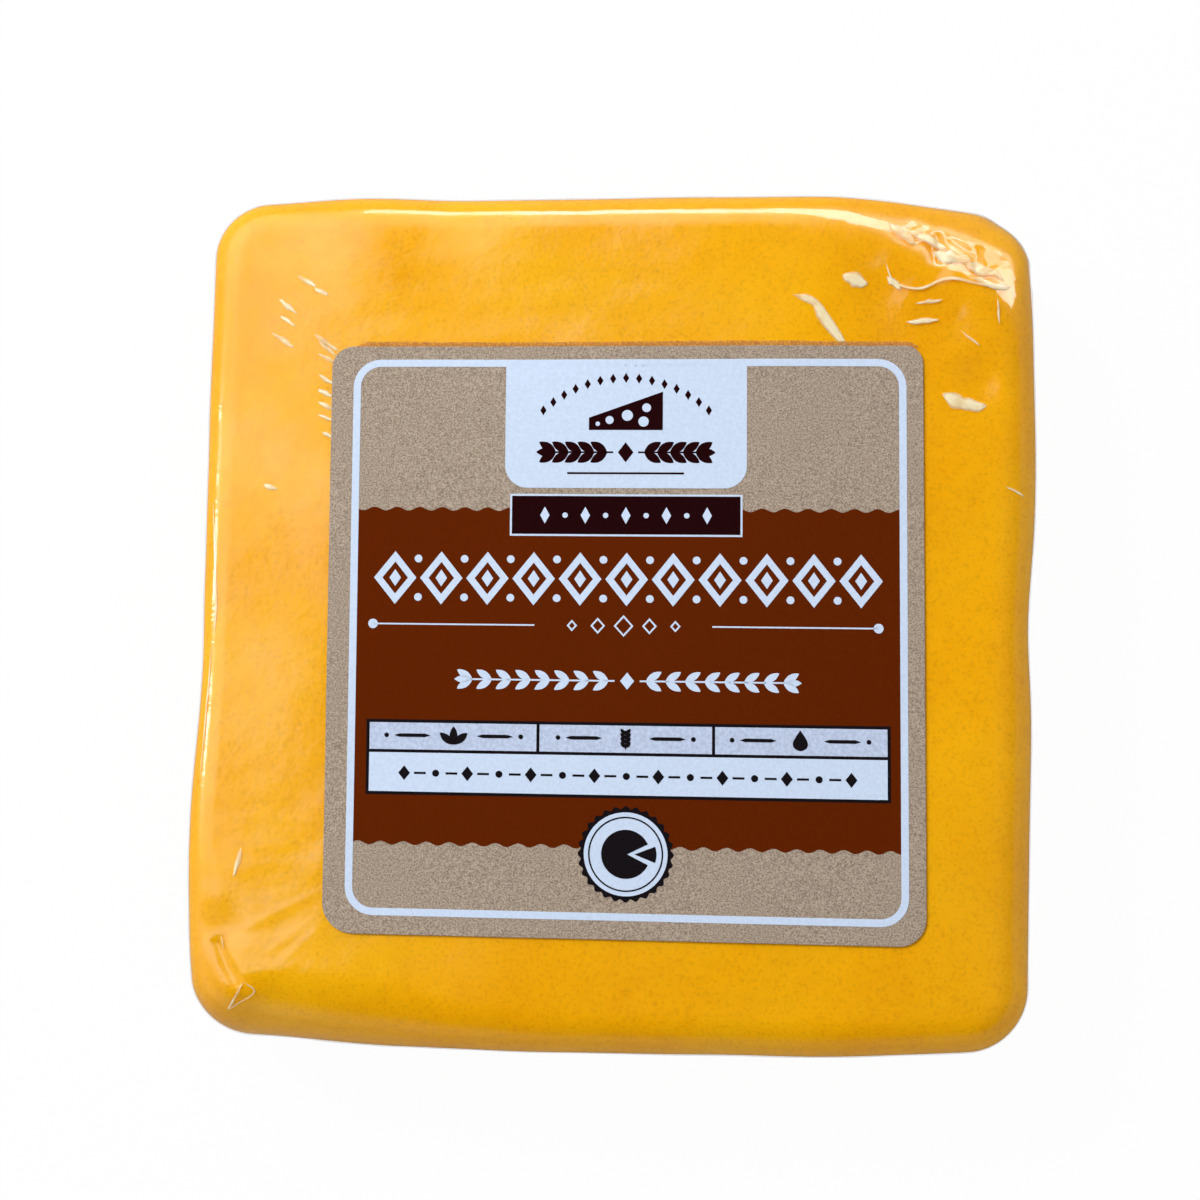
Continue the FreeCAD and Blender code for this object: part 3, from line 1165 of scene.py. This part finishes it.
# In the table's upper row three small signs between dashes and dots: a sprout, an ear of grain and
# a drop. In its lower row lozenges and dots turn about with dashes between, and on the seal a
# ring and a wheel of cheese with a slice out of it.
def blackShapes(edges):
    table, row, seal = artwork["table"], artwork["tableRow"], artwork["seal"]
    upper = (table["divider"] + table["back"]) / 2
    lower = (table["divider"] + table["front"]) / 2
    sprout, ear, drop = [(edges[k] + edges[k + 1]) / 2 for k in range(3)]
    shapes = []
    for x in (sprout, ear, drop):
        for side in (-1, 1):
            ends = ((x + side * 3.0, upper), (x + side * 7.6, upper))
            shapes.append(spindle(*ends, lambda t: 0.22 * np.clip(8 * t * (1 - t), 0, 1), 9))
            shapes.append(disc(x + side * 8.6, upper, 0.3, 9))
    for degrees in (90, 40, 140):
        shapes.append(leaf(sprout, upper - 1.1, 2.3, 1.0, degrees))
    for step in range(4):
        for degrees in (50, 130):
            shapes.append(leaf(ear, upper - 1.2 + step * 0.55, 1.0, 0.5, degrees))
    shapes.append(bar(ear - 0.08, ear + 0.08, upper - 1.4, upper + 1.0))
    ends = ((drop, upper - 1.25), (drop, upper + 1.35))
    shapes.append(spindle(*ends, lambda t: 0.95 * np.sin(math.pi * t ** 0.6)))
    middle = (table["left"] + table["right"]) / 2
    for number in range(row["count"]):
        x = middle + (number - row["count"] // 2) * row["spacing"]
        shapes.append(disc(x, lower, 0.45, 11) if number % 2 else lozenge(x, lower, 1.5, 1.9))
    for number in range(row["count"] - 1):
        x = middle + (number - row["count"] // 2 + 0.5) * row["spacing"]
        shapes.append(bar(x - 0.75, x + 0.75, lower - 0.14, lower + 0.14))
    outer, inner = [sealRim(seal["radius"] - inset, 72)[:-1] for inset in seal["ring"]]
    shapes.append(ringPatch(outer, inner))
    shapes.append(fannedPatch((seal["x"] + 0.2, seal["y"]), sealRim(seal["wheel"], 48, 0, 25, 335)))
    shapes.append(fannedPatch((seal["x"] + 1.1, seal["y"]), sealRim(3.0, 8, 0, -20, 20, 0.9)))
    return shapes


# All the print, each ink's piece a layer or more above what it covers
def makePrints():
    mottles = {name: 0.14 if name == "grey" else 0.05 for name in inks}
    ink = {name: inkMaterial(name, colour, mottles[name]) for name, colour in inks.items()}
    table, seal, banner, tab = artwork["table"], artwork["seal"], artwork["banner"], artwork["tab"]
    sealShape = fannedPatch((seal["x"], seal["y"]), sealRim(seal["radius"], 168, seal["scallopDepth"]))
    tableShape = bar(table["left"], table["right"], table["front"], table["back"])
    bannerShape = bar(banner["left"], banner["right"], banner["front"], banner["back"])
    size, tabMiddle = artwork["wedge"], (tab["left"] + tab["right"]) / 2
    wedge, holes = wedgeIcon(tabMiddle, size["level"], size["width"], size["height"])
    edges = [table["left"] + table["line"], *table["columns"], table["right"] - table["line"]]
    return [
        makePrint("label_tan_strip", [tanEdgeStrip()], -5, tanStripMaterial()),
        makePrint("print_band", [brownBand()], 1, ink["brown"]),
        makePrint("print_white", whiteShapes(), 2, ink["white"]),
        makePrint("print_table", [tableShape, sealShape], 2, ink["black"]),
        makePrint("print_banner_edge", [bannerShape], 2, ink["white"]),
        makePrint("print_maroon", maroonShapes(wedge, tabMiddle), 3, ink["maroon"]),
        makePrint("print_white_upper", upperWhiteShapes() + holes, 4, ink["white"]),
        makePrint("print_grey", greyShapes(edges), 3, ink["grey"]),
        makePrint("print_black", blackShapes(edges), 5, ink["black"]),
    ]


cheesePiece = makeCheese()
print("cheese made")
filmPiece = makeFilm()
foldsPiece = makeFolds()
print("film made")
labelPiece = makeLabel()
printPieces = makePrints()
print("label and print made")

for piece in [cheesePiece, filmPiece, foldsPiece, labelPiece] + printPieces:
    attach(piece, "root")
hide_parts("wrapped_cheese")
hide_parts("wrapped_cheese")
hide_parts("wrapped_cheese")
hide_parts("label")


studio = {
    "floorSize": 4.0,
    "floorLevel": -0.02,        # in millimetres, just clear of the block
    "floorColour": 0.90,
    "floorInMirrors": 0.35,     # the floor's colour where the film mirrors it
    "floorWhite": 0.97,         # share of the floor's look that is plain white to the camera
    "key": {"place": (-0.265, 0.265, 0.405), "size": (0.26, 0.26), "radiance": 9.2},
    "leftWindow": {"place": (-0.93, 0.115, 0.40), "size": (0.10, 0.22), "radiance": 16.0},
    "backWindow": {"place": (0.36, 0.89, 0.477), "size": (1.36, 0.24), "radiance": 10.0},
    "fill": {"from": (0.60, -0.15, 1.0), "strength": 0.62, "spread": 50},
    # brightness of the room by how far a direction points to the back left (0) or front right (1)
    "ceilingWay": (0.894, -0.447, 0),
    "ceiling": ((0.35, 2.3), (0.385, 1.6), (0.41, 0.6), (0.432, 0.12), (0.46, 0.04), (0.5, 0.03)),
    # and of its walls by how far a direction points left (0) or right (1)
    "walls": ((0.0, 0.65), (0.35, 0.4), (0.5, 0.25), (1.0, 0.35)),
    # and how much of the ceiling's brightness is left from front (0) to back (1)
    "ceilingToFront": ((0.38, 0.15), (0.47, 1.0)),
    "ceilingOnMatt": 0.4,       # share of the ceiling's light that falls on matt things
    "wallsOnMatt": 1.1,         # brightness of the walls as matt things see them
}


# The floor: a square grid just under the block, plain white to the camera except for its shadow,
# and dimmer where the film mirrors it
def makeFloor():
    size = studio["floorSize"] / 2 / mm
    lines = np.linspace(-size, size, 9)
    x, y = np.meshgrid(lines, lines, indexing="ij")
    places = np.column_stack([x.ravel(), y.ravel(), np.full(x.size, studio["floorLevel"])])
    material, nodes, links = newMaterial("pale floor")
    path = nodes.new("ShaderNodeLightPath")
    shader = nodes.new("ShaderNodeBsdfDiffuse")
    white = nodes.new("ShaderNodeEmission")
    mix = nodes.new("ShaderNodeMixShader")
    output = nodes.new("ShaderNodeOutputMaterial")
    plain, dim = (studio["floorColour"],) * 3, (studio["floorInMirrors"],) * 3
    colour = mixColours(nodes, links, path.outputs["Is Glossy Ray"], plain, dim)
    links.new(colour, shader.inputs["Color"])
    share = mathNode(nodes, links, "MULTIPLY", path.outputs["Is Camera Ray"], studio["floorWhite"])
    links.new(share, mix.inputs[0])
    links.new(shader.outputs[0], mix.inputs[1])
    links.new(white.outputs[0], mix.inputs[2])
    links.new(mix.outputs[0], output.inputs["Surface"])
    floor = makePiece("floor", places, gridQuads(np.arange(x.size).reshape(x.shape)), material)


def pointAtBlock(holder, place):
    holder.location = place
    way = -holder.location.normalized()
    holder.rotation_euler = way.to_track_quat("-Z", "Y").to_euler()
    bpy.context.scene.collection.objects.link(holder)


# An area lamp that faces the block. Its power is its radiance times its area times pi. The key
# lights matt things only, and a window is only mirrored.
def makeLamp(name, onlyMirrored):
    size = studio[name]
    lamp = bpy.data.lights.new(name, "AREA")
    lamp.shape = "RECTANGLE"
    lamp.size, lamp.size_y = size["size"]
    lamp.energy = size["radiance"] * lamp.size * lamp.size_y * math.pi
    holder = bpy.data.objects.new(name, lamp)
    holder.visible_glossy = onlyMirrored
    holder.visible_diffuse = not onlyMirrored
    pointAtBlock(holder, size["place"])


# A broad even light from above that glossy things don't mirror
def makeFill():
    size = studio["fill"]
    lamp = bpy.data.lights.new("fill", "SUN")
    lamp.energy = size["strength"]
    lamp.angle = math.radians(size["spread"])
    holder = bpy.data.objects.new("fill", lamp)
    holder.visible_glossy = False
    pointAtBlock(holder, size["from"])


# How far each direction points one way, from 0 to 1, as a ramp of brightness
def brightnessAlong(nodes, links, direction, way, stops):
    along = nodes.new("ShaderNodeVectorMath")
    along.operation = "DOT_PRODUCT"
    along.inputs[1].default_value = way
    links.new(direction, along.inputs[0])
    share = mathNode(nodes, links, "MULTIPLY_ADD", along.outputs["Value"], 0.5, 0.5)
    return rampNode(nodes, links, share, [(place, (level,) * 3) for place, level in stops])


# The studio round the table: a ceiling and walls that darken from left to right, blended by the
# height of each direction, dimmed for matt things, and plain white where the camera sees past the
# floor
def makeWorld():
    world = bpy.data.worlds.new("studio")
    world.use_nodes = True
    nodes, links = world.node_tree.nodes, world.node_tree.links
    background = nodes["Background"]
    path = nodes.new("ShaderNodeLightPath")
    direction = nodes.new("ShaderNodeTexCoord").outputs["Generated"]
    ceiling = brightnessAlong(nodes, links, direction, studio["ceilingWay"], studio["ceiling"])
    walls = brightnessAlong(nodes, links, direction, (1, 0, 0), studio["walls"])
    height = brightnessAlong(nodes, links, direction, (0, 0, 1), ((0.6, 0.0), (0.75, 1.0)))
    toFront = brightnessAlong(nodes, links, direction, (0, 1, 0), studio["ceilingToFront"])
    ceiling = mixColours(nodes, links, 1.0, ceiling, toFront, "MULTIPLY")
    room = mixColours(nodes, links, height, walls, ceiling)
    dimmed = mixColours(nodes, links, 1.0, ceiling, (studio["ceilingOnMatt"],) * 3, "MULTIPLY")
    onMatt = mixColours(nodes, links, height, (studio["wallsOnMatt"],) * 3, dimmed)
    lit = mixColours(nodes, links, path.outputs["Is Glossy Ray"], onMatt, room)
    seen = mixColours(nodes, links, path.outputs["Is Camera Ray"], lit, (1, 1, 1))
    links.new(seen, background.inputs["Color"])
    bpy.context.scene.world = world


# The camera stands over the block, a little to its right and front, and looks down on the label
camera = {
    "fromLabel": (20.8, -25.5, 318.5),
    "degrees": (5.519, 4.219, 0.710),
    "focalLength": 75.31,
}


def makeCamera():
    lens = bpy.data.cameras.new("camera")
    lens.lens = camera["focalLength"]
    lens.sensor_width = 36
    lens.clip_start = 0.01
    holder = bpy.data.objects.new("camera", lens)
    top = np.array([labelMiddle[0], labelMiddle[1], labelHigh[2]])
    holder.location = ((top + camera["fromLabel"]) * mm).tolist()
    holder.rotation_euler = [math.radians(angle) for angle in camera["degrees"]]
    bpy.context.scene.collection.objects.link(holder)
    bpy.context.scene.camera = holder


makeFloor()
makeLamp("key", False)
makeLamp("leftWindow", True)
makeLamp("backWindow", True)
makeFill()
makeWorld()
makeCamera()
bpy.context.scene.view_settings.view_transform = "Standard"
print("studio made")
